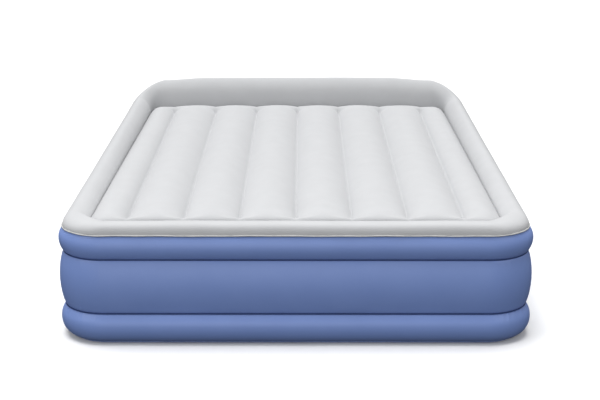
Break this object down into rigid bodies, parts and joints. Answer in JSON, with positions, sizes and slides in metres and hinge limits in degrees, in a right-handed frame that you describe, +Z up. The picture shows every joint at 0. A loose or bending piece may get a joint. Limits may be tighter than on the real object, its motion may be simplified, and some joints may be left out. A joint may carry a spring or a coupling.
{
  "type": "air mattress",
  "caption": "Queen-size air bed with a flocked channelled top, a bolster rising to a head ledge, stacked side tubes and a built-in pump.",
  "frame": {"origin": "on the floor under the middle of the bed", "axes": "+Y from the foot to the head end, +Z up, +X to the right as seen from the foot"},
  "size_m": [1.52, 2.03, 0.5191],
  "materials": {
    "pvc_blue": "satin calendered PVC film, blue",
    "pvc_inner": "plain PVC film",
    "flocked_top": "short grey flock on PVC film",
    "weld_bead": "bare pressed weld edge",
    "pump_collar_vinyl": "soft moulded PVC, dark blue",
    "pump_plastic": "moulded ABS, charcoal",
    "pump_plastic_light": "moulded ABS, mid grey",
    "rubber_black": "moulded rubber",
    "motor_steel": "zinc-plated steel can",
    "screw_steel": "zinc-plated steel"
  },
  "bodies": {
    "bed": {"base_sheet": "pvc_blue", "lower_side_tube_wall": "pvc_blue", "lower_tie_sheet": "pvc_inner", "middle_side_tube_wall": "pvc_blue", "upper_tie_sheet": "pvc_inner", "upper_side_tube_wall": "pvc_blue", "rim_weld_piping": "weld_bead", "perimeter_bolster": "flocked_top", "bolster_web": "pvc_inner", "sleeping_sheet": "flocked_top", "channel_web_1": "pvc_inner", "channel_web_2": "pvc_inner", "channel_web_3": "pvc_inner", "channel_web_4": "pvc_inner", "channel_web_5": "pvc_inner", "channel_web_6": "pvc_inner", "channel_web_7": "pvc_inner", "middle_web_1": "pvc_inner", "middle_web_2": "pvc_inner", "middle_web_3": "pvc_inner", "base_web_1": "pvc_inner", "base_web_2": "pvc_inner", "base_web_3": "pvc_inner", "pump_collar": "pump_collar_vinyl", "pump_housing": "pump_plastic", "face_plate_gasket": "rubber_black", "pump_face_plate": "pump_plastic", "face_plate_screws": "screw_steel", "cord_bay": "pump_plastic", "cord_gland": "rubber_black", "door_hinge_pin": "screw_steel", "fan_casing": "pump_plastic", "fan_cover": "pump_plastic", "motor": "motor_steel", "motor_screws": "screw_steel", "motor_cushion": "rubber_black", "air_duct": "pump_plastic", "valve_body": "pump_plastic", "valve_seat": "pump_plastic", "valve_spring": "screw_steel", "switch_body": "pump_plastic", "rocker_pin": "screw_steel"},
    "dial": {"control_dial": "pump_plastic_light", "valve_drum": "pump_plastic_light"},
    "fan": {"impeller": "pump_plastic_light", "motor_shaft": "screw_steel"},
    "rocker": {"power_rocker": "pump_plastic_light"},
    "door": {"cord_door": "pump_plastic_light"},
    "outlet_valve": {"valve_disc": "rubber_black", "stem_clip": "screw_steel"}
  },
  "joints": [
    {"name": "dial_turn", "type": "hinge", "parent": "bed", "child": "dial", "pos_m": [0.444, 1.001, 0.2145], "axis": [0, 1, 0], "range_deg": [-60, 60]},
    {"name": "fan_spin", "type": "hinge", "parent": "bed", "child": "fan", "pos_m": [0.38, 0.98, 0.2145], "axis": [0, 1, 0], "continuous": true},
    {"name": "rocker_tilt", "type": "hinge", "parent": "bed", "child": "rocker", "pos_m": [0.488, 0.994, 0.2145], "axis": [1, 0, 0], "range_deg": [0, 16]},
    {"name": "cord_door_swing", "type": "hinge", "parent": "bed", "child": "door", "pos_m": [0.43, 0.99975, 0.14125], "axis": [-1, 0, 0], "range_deg": [0, 105]},
    {"name": "outlet_valve_slide", "type": "slide", "parent": "bed", "child": "outlet_valve", "axis": [0, -1, 0], "range_m": [0, 0.008], "stiffness_N_per_m": 60, "springref_m": -0.002, "deforming": ["valve_spring"]}
  ]
}
